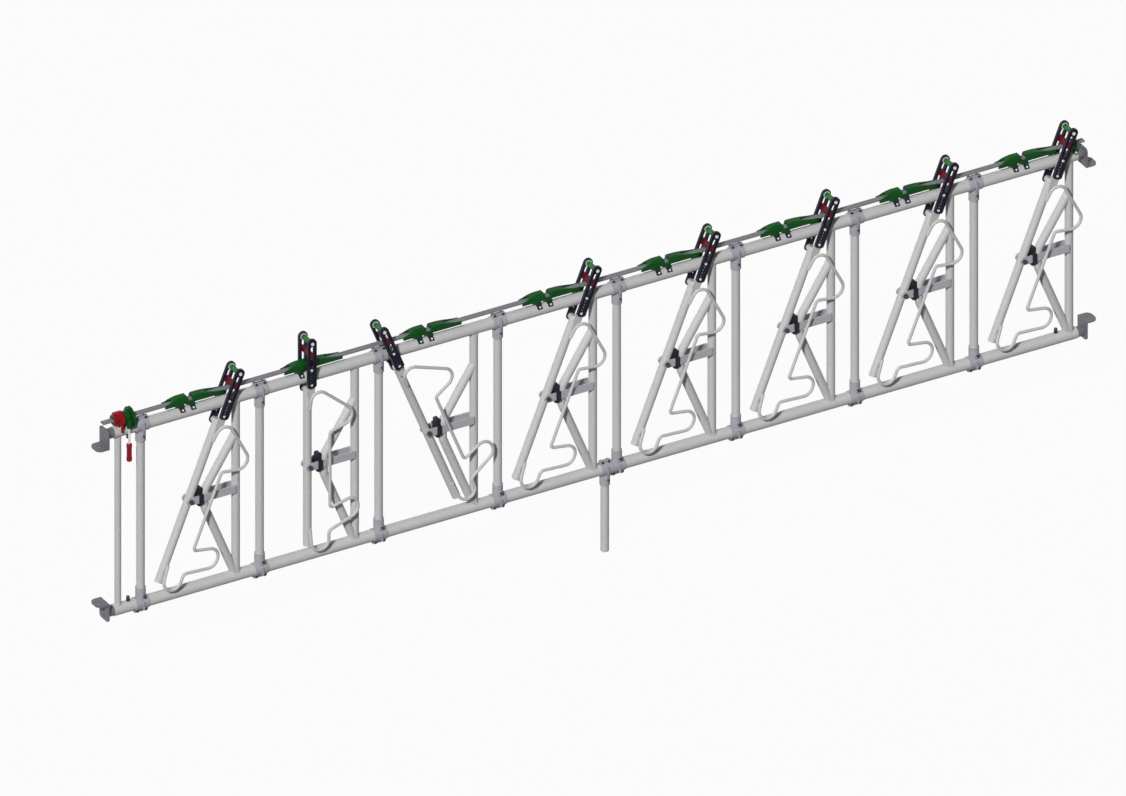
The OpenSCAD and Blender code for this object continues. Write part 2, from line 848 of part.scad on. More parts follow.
// Upright plate round the bar, standing on the top rail
module rail_plate(t, r, bore) {
    difference() {
        union() {
            section(-t / 2, t / 2) {
                circle(r);
                translate([-r, index_low]) square([2 * r, -index_low]);
            }
            saddle(t, min(r, 15), index_low + over);
        }
        along_x(bore, 2 * t);
        translate([0, 0, rail_from_bar]) along_x(rail_r + fit_gap, 2 * t);
        saddle_screw_holes(screw_r + fit_gap);
        saddle_seats();
    }
}

module index_plate() {
    color(green_plastic) translate([index_x + index_t / 2, 0, 0]) at_bar() difference() {
        rail_plate(index_t, index_r, sleeve_r + run_gap);
        for (a = [-60 : 30 : 60]) rotate([a, 0, 0]) translate([0, 0, index_r])
            along_x(4, 2 * index_t);
    }
}

module end_bearing() {
    color(green_plastic) translate([bearing_x + bearing_t / 2, 0, 0]) at_bar()
        rail_plate(bearing_t, bearing_r, cavity_r);
}

module bar_outline(gap = 0) {
    round_rect(-control_w / 2 - gap, -control_t / 2 - gap, control_w / 2 + gap, control_t / 2 + gap,
        control_corner);
}

module control_bar() {
    color(steel) at_bar() difference() {
        section(control_left, control_right) difference() {
            bar_outline();
            for (y = [-groove_y, groove_y]) for (z = [-control_t / 2, control_t / 2])
                translate([y, z]) square([groove_w, 2 * groove_deep], center = true);
        }
        section(control_left - over, control_right + over) square([control_w - 2 * control_wall,
            control_t - 2 * control_wall], center = true);
    }
}

// Round bush pressed on the bar
module bar_bush(l) {
    difference() {
        along_x(bush_out, l);
        section(-l, l) bar_outline(weld_gap);
    }
}

module bar_bushes() {
    color(dark_plastic) at_bar() {
        for (i = [1 : places]) for (x = bush_places) translate([pivot_x(i) + x, 0, 0])
            bar_bush(bush_t);
        translate([bearing_x + bearing_t / 2, 0, 0]) bar_bush(bearing_t + 4);
    }
}

// Sleeve on the bar with the hub and the lever's socket in front of the rail
module lever_hub() {
    color(green_plastic) at_bar() difference() {
        union() {
            translate([sleeve_left, 0, 0]) rotate([0, 90, 0])
                cylinder(r = sleeve_r, h = index_x + index_t + 4 - sleeve_left);
            translate([hub_x, 0, 0]) rotate([0, 90, 0]) cylinder(r = hub_r, h = hub_l);
            translate([hub_x, lever_y, socket_low + socket_r]) cube([hub_l, -lever_y, hub_r
                - socket_low - socket_r - 26]);
            translate([hub_x + hub_l / 2, lever_y, socket_low])
                cylinder(r = socket_r, h = -socket_low + 5);
        }
        section(sleeve_left - over, index_x + 2 * index_t) bar_outline(weld_gap);
        translate([hub_x + hub_l / 2, lever_y, socket_low - over])
            cylinder(r = rod_d / 2 + weld_gap, h = rod_top - socket_low + over);
    }
}

module lever_rod() {
    color(steel) at_bar() translate([hub_x + hub_l / 2, lever_y, grip_top - grip_bore_l])
        cylinder(r = rod_d / 2, h = rod_top - fit_gap - grip_top + grip_bore_l);
}

// Grip turned with a slight waist and round ends
module lever_grip() {
    r = grip_d / 2;
    end_r = 6;
    color(red_plastic) at_bar() translate([hub_x + hub_l / 2, lever_y, grip_top - grip_l])
        difference() {
            rotate_extrude() {
                translate([0, end_r]) square([r - grip_waist, grip_l - 2 * end_r]);
                square([r - end_r, grip_l]);
                for (z = [end_r, grip_l - end_r]) translate([r - end_r, z]) circle(end_r);
                translate([0, end_r]) square([r, grip_l * 0.16]);
                translate([0, grip_l * 0.84 - end_r]) square([r, grip_l * 0.16]);
                for (k = [0.32, 0.44, 0.56, 0.68]) translate([0, grip_l * k - 2]) square([r - 1, 4]);
            }
            translate([0, 0, grip_l - grip_bore_l - fit_gap])
                cylinder(r = rod_d / 2 + weld_gap, h = grip_bore_l + over);
        }
}

// Thumb selector that turns on the hub's sleeve
module selector() {
    color(red_plastic) at_bar() difference() {
        union() {
            translate([sleeve_left, 0, 0]) rotate([0, 90, 0])
                cylinder(r = selector_boss_r, h = selector_boss_l + over);
            translate([selector_x, 0, 0]) rotate([0, 90, 0]) cylinder(r = selector_r, h = selector_l);
            translate([selector_x + 4, pin_y - pin_r, -selector_lug / 2])
                cube([selector_l - 8, -pin_y, selector_lug]);
            translate([selector_x + selector_l / 2, pin_y, pin_low + pin_r])
                cylinder(r = pin_r, h = -pin_low - pin_r);
            translate([selector_x + selector_l / 2, pin_y, pin_low + pin_r]) sphere(pin_r);
        }
        translate([selector_x, 0, 0]) along_x(sleeve_r + run_gap, 4 * selector_l);
        for (a = [30 : 30 : 240]) rotate([a, 0, 0]) translate([selector_x + selector_l / 2, 0,
            selector_r + 3]) along_x(6, 2 * selector_l);
    }
}

// Steel plate in front, which holds a cheek
module fork_plate() {
    difference() {
        flat(-plate_out, -plate_in) stadium(plate_r, boss_z, plate_top);
        for (z = plate_bolts) translate([0, 0, z]) along_y(plate_bolt_r + fit_gap, 3 * plate_out);
    }
}

// Crosswise boss at the stanchion's top, which carries the fork's plates
module fork_boss() {
    translate([0, 0, boss_z]) along_y(boss_r, 2 * plate_in + over);
}

module stanchion(i) {
    color(galvanised) at_stanchion(i) difference() {
        union() {
            translate([0, 0, tube_foot]) cylinder(r = tube_r, h = tube_top - tube_foot);
            fork_boss();
            fork_plate();
            mirror([0, 1, 0]) fork_plate();
            bent_rod(guard_path, guard_bends, guard_r);
        }
        difference() {
            translate([0, 0, tube_foot + cap_t])
                cylinder(r = tube_r - tube_wall, h = tube_top - tube_foot - 2 * cap_t);
            along_y(bush_r, 4 * tube_r);
            fork_boss();
        }
        along_y(bolt_r + run_gap, 4 * tube_r);
        translate([0, 0, tube_foot - over]) cylinder(r = vent_r, h = cap_t + 2 * over);
    }
}

// Outline of a cheek, its round top about the spool
module cheek_outline(inset) {
    r = cheek_r - inset;
    foot = cheek_foot + inset;
    translate([0, spool_z]) circle(r);
    translate([-r, foot + cheek_toe]) square([2 * r, spool_z - foot - cheek_toe]);
    polygon([[-r, foot + cheek_toe + over], [-r, foot + cheek_toe], [cheek_toe - r, foot],
        [r - cheek_toe, foot], [r, foot + cheek_toe], [r, foot + cheek_toe + over]]);
}

// Front cheek: a web with a rim, rungs, windows on its steel plate and the latch's slot
module cheek() {
    difference() {
        union() {
            flat(-cheek_in - cheek_web, -cheek_in) cheek_outline(0);
            flat(-cheek_out, -cheek_in) difference() {
                cheek_outline(0);
                cheek_outline(cheek_rim);
            }
            flat(-cheek_out, -cheek_in) stadium(latch_r + slot_gap + slot_rim, slot_low, slot_high);
            flat(-cheek_out, -cheek_in) translate([0, spool_z]) circle(spool_r);
            for (k = [0 : windows]) flat(-cheek_out + 2, -cheek_in)
                translate([over - cheek_r, window_low + window_pitch * k - rung_t / 2])
                    square([cheek_w - 2 * over, rung_t]);
            for (k = [1 : 3]) flat(-cheek_out + 2, -cheek_in)
                translate([over - cheek_r, slot_low + (slot_high - slot_low) * k / 4 - rung_t / 2])
                    square([cheek_w - 2 * over, rung_t]);
        }
        for (k = [0 : windows - 1]) flat(-2 * cheek_out, 0)
            translate([-window_w / 2, window_low + window_pitch * k + rung_t / 2])
                square([window_w, window_pitch - rung_t]);
        flat(-2 * cheek_out, 0) stadium(latch_r + slot_gap, slot_low, slot_high);
        translate([0, 0, spool_z]) along_y(spool_bolt_r + fit_gap, 4 * cheek_out);
        for (z = plate_bolts) translate([0, 0, z]) along_y(plate_bolt_r + fit_gap, 4 * cheek_out);
    }
}

module fork(i) {
    color(dark_plastic) at_stanchion(i) {
        cheek();
        mirror([0, 1, 0]) cheek();
    }
}

// Spool and washers between the cheeks, their bolt, and the bolts through cheeks and plates
module spool(i) {
    color(green_plastic) at_stanchion(i) {
        translate([0, 0, spool_z]) {
            difference() {
                union() {
                    along_y(spool_r, 2 * (cheek_in - fit_gap));
                    for (side = [-1, 1]) translate([0, side * (cheek_in - fit_gap - washer_t / 2), 0])
                        along_y(washer_r, washer_t);
                }
                along_y(spool_bolt_r + fit_gap, 4 * cheek_in);
            }
            hex_bolt(-cheek_out, 2 * cheek_out + 7, spool_bolt_r, 9, 5);
            hex_nut(cheek_out, spool_bolt_r, 9, 5);
        }
        for (z = plate_bolts) for (side = [0, 1]) mirror([0, side, 0]) translate([0, 0, z])
            hex_bolt(-cheek_in - cheek_web, cheek_in + cheek_web - plate_in, plate_bolt_r,
                plate_head_r, plate_head_h);
    }
}

// Latch at rest on the control bar, free to rise in the slots
module latch(i) {
    color(red_plastic) at_stanchion(i) flat(-latch_out, latch_out)
        stadium(latch_r, latch_low, latch_low + latch_h - 2 * latch_r);
}

top_rail();
bottom_rail();
end_post();
bay_posts();
bay_struts();
pivot_bars();
pivot_bolts();
buffers();
dividers();
tee_clamps();
clamp_bolts();
support_leg();
foot_cap();
set_bolts();
end_top_left();
end_top_right();
end_bottom_left();
end_bottom_right();
lock_housings();
housing_screws();
index_plate();
end_bearing();
control_bar();
bar_bushes();
lever_hub();
lever_rod();
lever_grip();
selector();
for (i = [1 : places]) {
    stanchion(i);
    fork(i);
    spool(i);
    latch(i);
}
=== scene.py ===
# Cattle headlock panel: the finishes, weld beads, floor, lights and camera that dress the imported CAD
# frame. Metres, with the same origin and axes as the frame.
import json
import math

import bmesh
import bpy
from mathutils import Matrix, Vector


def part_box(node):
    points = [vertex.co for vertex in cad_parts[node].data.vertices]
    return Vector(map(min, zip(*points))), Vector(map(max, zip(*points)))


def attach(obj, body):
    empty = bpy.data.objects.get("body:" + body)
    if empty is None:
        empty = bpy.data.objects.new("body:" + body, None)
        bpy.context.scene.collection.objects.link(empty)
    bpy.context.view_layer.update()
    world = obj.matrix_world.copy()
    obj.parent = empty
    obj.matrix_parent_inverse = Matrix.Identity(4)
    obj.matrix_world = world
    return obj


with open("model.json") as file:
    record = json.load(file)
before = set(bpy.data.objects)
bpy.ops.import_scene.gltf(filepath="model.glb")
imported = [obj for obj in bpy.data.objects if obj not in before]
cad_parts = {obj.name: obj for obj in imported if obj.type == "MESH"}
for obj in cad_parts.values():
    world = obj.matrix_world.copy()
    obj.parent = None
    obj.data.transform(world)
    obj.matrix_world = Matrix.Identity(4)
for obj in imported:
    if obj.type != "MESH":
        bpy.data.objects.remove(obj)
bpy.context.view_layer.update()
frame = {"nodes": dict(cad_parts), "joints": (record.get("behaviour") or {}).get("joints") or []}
nodes = frame["nodes"]
print("frame loaded:", len(nodes), "nodes")


# places and sizes that the details need, all read from the frame
def middle(node, axis):
    low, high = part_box(node)
    return (low[axis] + high[axis]) / 2


topRailZ = middle("top_rail", 2)
bottomRailZ = middle("bottom_rail", 2)
railRadius = (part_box("top_rail")[1][2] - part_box("top_rail")[0][2]) / 2
pivots = {j["child"]: Vector(j["pos_m"]) for j in frame["joints"] if j["name"].startswith("swing_")}
places = len(pivots)


def newGroup(name, inputs, outputs):
    group = bpy.data.node_groups.new(name, "ShaderNodeTree")
    for label, kind, value in inputs:
        socket = group.interface.new_socket(label, in_out="INPUT", socket_type=kind)
        socket.default_value = value
    for label, kind in outputs:
        group.interface.new_socket(label, in_out="OUTPUT", socket_type=kind)
    return group


def addNode(tree, kind, **settings):
    node = tree.nodes.new(kind)
    for key, value in settings.items():
        setattr(node, key, value)
    return node


# a socket takes a link where the value comes from a node, and a plain value otherwise
def feed(tree, socket, value):
    if isinstance(value, bpy.types.NodeSocket):
        tree.links.new(value, socket)
    else:
        socket.default_value = value


def mixColor(tree, factor, first, second):
    mix = addNode(tree, "ShaderNodeMix", data_type="RGBA")
    colorInputs = [socket for socket in mix.inputs if socket.type == "RGBA"]
    feed(tree, mix.inputs["Factor"], factor)
    feed(tree, colorInputs[0], first)
    feed(tree, colorInputs[1], second)
    return next(socket for socket in mix.outputs if socket.type == "RGBA")


def mathNode(tree, operation, first, second):
    node = addNode(tree, "ShaderNodeMath", operation=operation)
    feed(tree, node.inputs[0], first)
    feed(tree, node.inputs[1], second)
    return node.outputs[0]


# what both groups share: two colours, two roughnesses, a cloud, and three outputs
def startGroup(name, colors, scales, roughness):
    color = "NodeSocketColor"
    number = "NodeSocketFloat"
    group = newGroup(
        name,
        [(label, color, value) for label, value in zip(("Dark", "Light"), colors)]
        + [(label, number, value) for label, value in scales]
        + [("Low Roughness", number, roughness[0]), ("High Roughness", number, roughness[1])],
        [("Color", color), ("Roughness", number), ("Height", number)],
    )
    return group, addNode(group, "NodeGroupInput"), addNode(group, "NodeGroupOutput")


def placeTextures(group, start, textures):
    place = addNode(group, "ShaderNodeTexCoord")
    for texture, scale in textures:
        group.links.new(place.outputs["Object"], texture.inputs["Vector"])
        group.links.new(start.outputs[scale], texture.inputs["Scale"])


def endGroup(group, start, end, share, height):
    color = mixColor(group, share, start.outputs["Dark"], start.outputs["Light"])
    group.links.new(color, end.inputs["Color"])
    rough = addNode(group, "ShaderNodeMapRange")
    group.links.new(share, rough.inputs["Value"])
    group.links.new(start.outputs["Low Roughness"], rough.inputs["To Min"])
    group.links.new(start.outputs["High Roughness"], rough.inputs["To Max"])
    group.links.new(rough.outputs[0], end.inputs["Roughness"])
    group.links.new(height, end.inputs["Height"])
    return group


spangle = {"cellShare": 0.45, "cloudShare": 0.55, "cloudDetail": 4.0}


# zinc crystals: flat cells of slightly different grey, with a fine cloud over them
def buildSpangle():
    colors = ((0.5, 0.5, 0.5, 1), (0.8, 0.8, 0.8, 1))
    scales = (("Cells", 90.0), ("Cloud", 9.0))
    group, start, end = startGroup("zincSpangle", colors, scales, (0.3, 0.5))
    cells = addNode(group, "ShaderNodeTexVoronoi")
    cloud = addNode(group, "ShaderNodeTexNoise")
    cloud.inputs["Detail"].default_value = spangle["cloudDetail"]
    placeTextures(group, start, ((cells, "Cells"), (cloud, "Cloud")))
    grey = addNode(group, "ShaderNodeSeparateColor")
    group.links.new(cells.outputs["Color"], grey.inputs[0])
    cellPart = mathNode(group, "MULTIPLY", grey.outputs[0], spangle["cellShare"])
    cloudPart = mathNode(group, "MULTIPLY", cloud.outputs[0], spangle["cloudShare"])
    return endGroup(group, start, end, mathNode(group, "ADD", cellPart, cloudPart), cloud.outputs[0])


# cast, moulded or rubbed surfaces: soft clouds of colour and a fine grain
def buildGrain():
    colors = ((0.4, 0.4, 0.4, 1), (0.6, 0.6, 0.6, 1))
    scales = (("Cloud", 12.0), ("Grain", 900.0))
    group, start, end = startGroup("surfaceGrain", colors, scales, (0.4, 0.6))
    cloud = addNode(group, "ShaderNodeTexNoise")
    grain = addNode(group, "ShaderNodeTexNoise")
    placeTextures(group, start, ((cloud, "Cloud"), (grain, "Grain")))
    return endGroup(group, start, end, cloud.outputs[0], grain.outputs[0])


groups = {"zincSpangle": buildSpangle(), "surfaceGrain": buildGrain()}
bumpHeight = 0.0004


def newMaterial(name, look):
    material = bpy.data.materials.new(name)
    material.use_nodes = True
    tree = material.node_tree
    shader = tree.nodes["Principled BSDF"]
    shader.inputs["Metallic"].default_value = look["metallic"]
    shader.inputs["Specular IOR Level"].default_value = look["specular"]
    skin = addNode(tree, "ShaderNodeGroup", node_tree=groups[look["group"]])
    for label, value in look["values"].items():
        skin.inputs[label].default_value = (*value, 1.0) if isinstance(value, tuple) else value
    bump = addNode(tree, "ShaderNodeBump")
    bump.inputs["Strength"].default_value = look["bump"]
    bump.inputs["Distance"].default_value = bumpHeight
    tree.links.new(skin.outputs["Color"], shader.inputs["Base Color"])
    tree.links.new(skin.outputs["Roughness"], shader.inputs["Roughness"])
    tree.links.new(skin.outputs["Height"], bump.inputs["Height"])
    tree.links.new(bump.outputs[0], shader.inputs["Normal"])
    return material


looks = {
    "hotDipZinc": {
        "group": "zincSpangle",
        "metallic": 0.05,
        "specular": 0.1,
        "bump": 0.04,
        "values": {
            "Dark": (0.51, 0.51, 0.508),
            "Light": (0.6, 0.6, 0.597),
            "Cells": 120.0,
            "Cloud": 5.0,
            "Low Roughness": 0.5,
            "High Roughness": 0.62,
        },
    },
    "zincPlate": {
        "group": "zincSpangle",
        "metallic": 0.2,
        "specular": 0.2,
        "bump": 0.04,
        "values": {
            "Dark": (0.14, 0.14, 0.165),
            "Light": (0.19, 0.19, 0.215),
            "Cells": 150.0,
            "Cloud": 8.0,
            "Low Roughness": 0.42,
            "High Roughness": 0.55,
        },
    },
    "barZinc": {
        "group": "zincSpangle",
        "metallic": 0.1,
        "specular": 0.15,
        "bump": 0.04,
        "values": {
            "Dark": (0.41, 0.41, 0.445),
            "Light": (0.49, 0.49, 0.525),
            "Cells": 150.0,
            "Cloud": 8.0,
            "Low Roughness": 0.45,
            "High Roughness": 0.58,
        },
    },
    "controlZinc": {
        "group": "zincSpangle",
        "metallic": 0.1,
        "specular": 0.15,
        "bump": 0.04,
        "values": {
            "Dark": (0.2, 0.2, 0.22),
            "Light": (0.27, 0.27, 0.29),
            "Cells": 150.0,
            "Cloud": 8.0,
            "Low Roughness": 0.45,
            "High Roughness": 0.58,
        },
    },
    "castClamp": {
        "group": "surfaceGrain",
        "metallic": 0.05,
        "specular": 0.15,
        "bump": 0.25,
        "values": {
            "Dark": (0.35, 0.35, 0.39),
            "Light": (0.42, 0.42, 0.46),
            "Cloud": 14.0,
            "Grain": 420.0,
            "Low Roughness": 0.5,
            "High Roughness": 0.62,
        },
    },
    "darkBolt": {
        "group": "surfaceGrain",
        "metallic": 0.6,
        "specular": 0.4,
        "bump": 0.05,
        "values": {
            "Dark": (0.035, 0.035, 0.05),
            "Light": (0.075, 0.075, 0.095),
            "Cloud": 30.0,
            "Grain": 900.0,
            "Low Roughness": 0.3,
            "High Roughness": 0.45,
        },
    },
    "brightSteel": {
        "group": "surfaceGrain",
        "metallic": 0.3,
        "specular": 0.5,
        "bump": 0.04,
        "values": {
            "Dark": (0.66, 0.66, 0.67),
            "Light": (0.8, 0.8, 0.81),
            "Cloud": 30.0,
            "Grain": 900.0,
            "Low Roughness": 0.24,
            "High Roughness": 0.36,
        },
    },
    "weldSteel": {
        "group": "surfaceGrain",
        "metallic": 0.2,
        "specular": 0.3,
        "bump": 0.5,
        "values": {
            "Dark": (0.4, 0.4, 0.4),
            "Light": (0.56, 0.56, 0.55),
            "Cloud": 60.0,
            "Grain": 300.0,
            "Low Roughness": 0.4,
            "High Roughness": 0.6,
        },
    },
    "blackPlastic": {
        "group": "surfaceGrain",
        "metallic": 0.0,
        "specular": 0.15,
        "bump": 0.12,
        "values": {
            "Dark": (0.01, 0.01, 0.022),
            "Light": (0.024, 0.024, 0.044),
            "Cloud": 14.0,
            "Grain": 1100.0,
            "Low Roughness": 0.34,
            "High Roughness": 0.48,
        },
    },
    "bufferRubber": {
        "group": "surfaceGrain",
        "metallic": 0.0,
        "specular": 0.2,
        "bump": 0.2,
        "values": {
            "Dark": (0.01, 0.01, 0.018),
            "Light": (0.022, 0.022, 0.034),
            "Cloud": 20.0,
            "Grain": 800.0,
            "Low Roughness": 0.6,
            "High Roughness": 0.76,
        },
    },
    "greenPlastic": {
        "group": "surfaceGrain",
        "metallic": 0.0,
        "specular": 0.1,
        "bump": 0.08,
        "values": {
            "Dark": (0.002, 0.05, 0.007),
            "Light": (0.004, 0.092, 0.012),
            "Cloud": 9.0,
            "Grain": 1000.0,
            "Low Roughness": 0.32,
            "High Roughness": 0.44,
        },
    },
    "spoolGreen": {
        "group": "surfaceGrain",
        "metallic": 0.0,
        "specular": 0.2,
        "bump": 0.08,
        "values": {
            "Dark": (0.005, 0.12, 0.012),
            "Light": (0.01, 0.18, 0.02),
            "Cloud": 9.0,
            "Grain": 1000.0,
            "Low Roughness": 0.32,
            "High Roughness": 0.44,
        },
    },
    "redPlastic": {
        "group": "surfaceGrain",
        "metallic": 0.0,
        "specular": 0.15,
        "bump": 0.08,
        "values": {
            "Dark": (0.22, 0.004, 0.009),
            "Light": (0.33, 0.008, 0.015),
            "Cloud": 9.0,
            "Grain": 1000.0,
            "Low Roughness": 0.3,
            "High Roughness": 0.42,
        },
    },
    "latchRed": {
        "group": "surfaceGrain",
        "metallic": 0.0,
        "specular": 0.12,
        "bump": 0.08,
        "values": {
            "Dark": (0.11, 0.004, 0.008),
            "Light": (0.17, 0.006, 0.012),
            "Cloud": 9.0,
            "Grain": 1000.0,
            "Low Roughness": 0.3,
            "High Roughness": 0.42,
        },
    },
}
materials = {name: newMaterial(name, look) for name, look in looks.items()}


# a second colour on one node, where the mask is 1
def paintWhere(material, mask, color):
    tree = material.node_tree
    target = tree.nodes["Principled BSDF"].inputs["Base Color"]
    ground = target.links[0].from_socket
    tree.links.new(mixColor(tree, mask, ground, (*color, 1.0)), target)


def placeIn(material):
    tree = material.node_tree
    place = addNode(tree, "ShaderNodeTexCoord")
    split = addNode(tree, "ShaderNodeSeparateXYZ")
    tree.links.new(place.outputs["Object"], split.inputs[0])
    return split.outputs


# how far in the drum starts, and how high above the control bar the lower bolts end
spoolParts = {"washersWide": 0.0217, "boltsAboveBar": 0.02}


# a spool's green drum, with steel for its washers and bolts and for the cheeks' lower bolts
def buildSpoolMaterial(drumEnd, boltsTop):
    material = newMaterial("spoolAndBolts", looks["spoolGreen"])
    tree = material.node_tree
    place = placeIn(material)
    beside = mathNode(tree, "GREATER_THAN", mathNode(tree, "ABSOLUTE", place["Y"], 0.0), drumEnd)
    below = mathNode(tree, "LESS_THAN", place["Z"], boltsTop)
    steelShare = mathNode(tree, "MAXIMUM", beside, below)
    paintWhere(material, steelShare, looks["brightSteel"]["values"]["Light"])
    metallic = tree.nodes["Principled BSDF"].inputs["Metallic"]
    tree.links.new(mathNode(tree, "MULTIPLY", steelShare, looks["brightSteel"]["metallic"]), metallic)
    return material


housingParts = {"feetAboveRail": 0.008}


# a lock housing's green humps, with dark feet where it is held on the rail
def buildHousingMaterial(feetTop):
    material = newMaterial("housingAndFeet", looks["greenPlastic"])
    feet = mathNode(material.node_tree, "LESS_THAN", placeIn(material)["Z"], feetTop)
    paintWhere(material, feet, looks["blackPlastic"]["values"]["Light"])
    return material


# where the painted shade starts and ends, measured in from the rear fork plate's outer face
rearPlateShade = {"paintedShadeFrom": 0.0065, "paintedShadeTo": 0.0005}


# a stanchion's zinc, with painted shade where the rear fork plate's inner face looks dark from the
# front, in the gap between the fork plates
def buildStanchionMaterial(paintedShadeFrom, paintedShadeTo):
    material = newMaterial("stanchionAndPaintedShade", looks["hotDipZinc"])
    tree = material.node_tree
    depth = placeIn(material)["Y"]
    behind = mathNode(tree, "GREATER_THAN", depth, paintedShadeFrom)
    before = mathNode(tree, "LESS_THAN", depth, paintedShadeTo)
    inside = mathNode(tree, "MINIMUM", behind, before)
    # painted shade: the rear fork plate's inner face, between the two plates, gets the dark plastic
    # colour
    paintWhere(material, inside, looks["blackPlastic"]["values"]["Light"])
    return material


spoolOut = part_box("spool_2")[1][1]
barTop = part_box("control_bar")[1][2]
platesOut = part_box("stanchion_2")[1][1]
materials["spoolAndBolts"] = buildSpoolMaterial(
    spoolOut - spoolParts["washersWide"], barTop + spoolParts["boltsAboveBar"]
)
materials["housingAndFeet"] = buildHousingMaterial(topRailZ + railRadius + housingParts["feetAboveRail"])
materials["stanchionAndPaintedShade"] = buildStanchionMaterial(
    platesOut - rearPlateShade["paintedShadeFrom"], platesOut - rearPlateShade["paintedShadeTo"]
)

finishes = {
    "hotDipZinc": [
        "top_rail",
        "bottom_rail",
        "end_post",
        "bay_posts",
        "bay_struts",
        "dividers",
        "support_leg",
        "foot_cap",
    ],
    "stanchionAndPaintedShade": ["stanchion_"],
    "barZinc": ["pivot_bars"],
    "controlZinc": ["control_bar"],
    "zincPlate": [
        "end_top_left",
        "end_top_right",
        "end_bottom_left",
        "end_bottom_right",
    ],
    "castClamp": ["tee_clamps"],
    "darkBolt": ["pivot_bolts", "clamp_bolts", "set_bolts"],
    "brightSteel": ["lever_rod", "housing_screws"],
    "blackPlastic": ["fork_", "bar_bushes"],
    "bufferRubber": ["buffers"],
    "housingAndFeet": ["lock_housings"],
    "greenPlastic": ["index_plate", "end_bearing", "lever_hub"],
    "redPlastic": ["lever_grip", "selector"],
    "latchRed": ["latch_"],
    "spoolAndBolts": ["spool_"],
}


def finishOf(node):
    for finish, names in finishes.items():
        if any(node == name or (name.endswith("_") and node.startswith(name)) for name in names):
            return finish
    raise ValueError("no finish for " + node)


for name, piece in nodes.items():
    piece.data.materials.clear()
    piece.data.materials.append(materials[finishOf(name)])
print("finishes on", len(nodes), "nodes")


# weld beads, where tubes and bars are joined for good
def finishPiece(name, shape, material, body):
    bmesh.ops.recalc_face_normals(shape, faces=shape.faces)
    mesh = bpy.data.meshes.new(name)
    shape.to_mesh(mesh)
    shape.free()
    mesh.materials.append(material)
    mesh.shade_smooth()
    piece = bpy.data.objects.new(name, mesh)
    bpy.context.collection.objects.link(piece)
    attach(piece, body)


def stamp(target, source, matrix):
    known = len(target.verts)
    target.from_mesh(source)
    target.verts.ensure_lookup_table()
    bmesh.ops.transform(target, matrix=matrix, verts=target.verts[known:])


ringWeld = {
    "radius": 0.0026,
    "outside": 0.0008,  # how far the middle of the bead stands off the tube
    "sides": 8,
    "steps": 60,
    "ripples": 20,
    "ripple": 0.0003,
}


# a bead round an upright tube, laid on the curve of the rail below it
def ringBead(tubeRadius):
    shape = bmesh.new()
    bmesh.ops.create_circle(shape, segments=ringWeld["sides"], radius=ringWeld["radius"])
    bmesh.ops.rotate(shape, verts=shape.verts, matrix=Matrix.Rotation(math.pi / 2, 3, "X"))
    bmesh.ops.translate(shape, verts=shape.verts, vec=(tubeRadius + ringWeld["outside"], 0, 0))
    bmesh.ops.spin(
        shape,
        geom=shape.verts[:] + shape.edges[:],
        cent=(0, 0, 0),
        axis=(0, 0, 1),
        angle=2 * math.pi,
        steps=ringWeld["steps"],
        use_merge=True,
    )
    for vertex in shape.verts:
        ripple = math.sin(ringWeld["ripples"] * math.atan2(vertex.co.y, vertex.co.x))
        vertex.co.z += math.sqrt(railRadius**2 - vertex.co.y**2) + ringWeld["ripple"] * ripple
    mesh = bpy.data.meshes.new("ringBead")
    shape.to_mesh(mesh)
    shape.free()
    return mesh


seamSides = 12


# a straight bead along Z with round ends
def seamBead(length, radius):
    shape = bmesh.new()
    bmesh.ops.create_uvsphere(shape, u_segments=seamSides, v_segments=seamSides, radius=radius)
    middleBand = radius / 100  # the ring of the sphere that stays where it is
    for end in (-1, 1):
        half = [vertex for vertex in shape.verts if end * vertex.co.z > middleBand]
        bmesh.ops.translate(shape, verts=half, vec=(0, 0, end * (length / 2 - radius)))
    mesh = bpy.data.meshes.new("seamBead")
    shape.to_mesh(mesh)
    shape.free()
    return mesh


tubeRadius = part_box("bay_posts")[1][1]
barWeld = {"radius": 0.0032, "length": 0.034, "barThickness": 0.008}


# a ring round both ends of each post, and a seam up the end of each pivot bar
def buildFrameWelds():
    lastPivot = pivots["place_" + str(places)]
    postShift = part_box("bay_posts")[1][0] - tubeRadius - lastPivot.x
    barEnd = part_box("pivot_bars")[1][0] - lastPivot.x
    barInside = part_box("pivot_bars")[1][1] - barWeld["barThickness"]
    tubeSurface = math.sqrt(tubeRadius**2 - (barEnd - postShift) ** 2)
    upsideDown = Matrix.Rotation(math.pi, 4, "X")
    shape = bmesh.new()
    postBead = ringBead(tubeRadius)
    posts = [(pivot.x + postShift, postBead) for pivot in pivots.values()]
    posts.append((middle("end_post", 0), ringBead(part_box("end_post")[1][1])))
    for x, bead in posts:
        stamp(shape, bead, Matrix.Translation((x, 0, bottomRailZ)))
        stamp(shape, bead, Matrix.Translation((x, 0, topRailZ)) @ upsideDown)
    seam = seamBead(barWeld["length"], barWeld["radius"])
    for pivot in pivots.values():
        for side in (-1, 1):
            place = (pivot.x + barEnd, side * (tubeSurface + barInside) / 2, pivot.z)
            stamp(shape, seam, Matrix.Translation(place))
    finishPiece("frameWelds", shape, materials["weldSteel"], "panel")


# how far a seam stands beside the rod and out of the stanchion, and its heights above the pivot
rodWeld = {
    "radius": 0.0042,
    "length": 0.046,
    "side": 0.0056,
    "out": 0.0012,
    "heights": (0.34985, -0.36685),
}


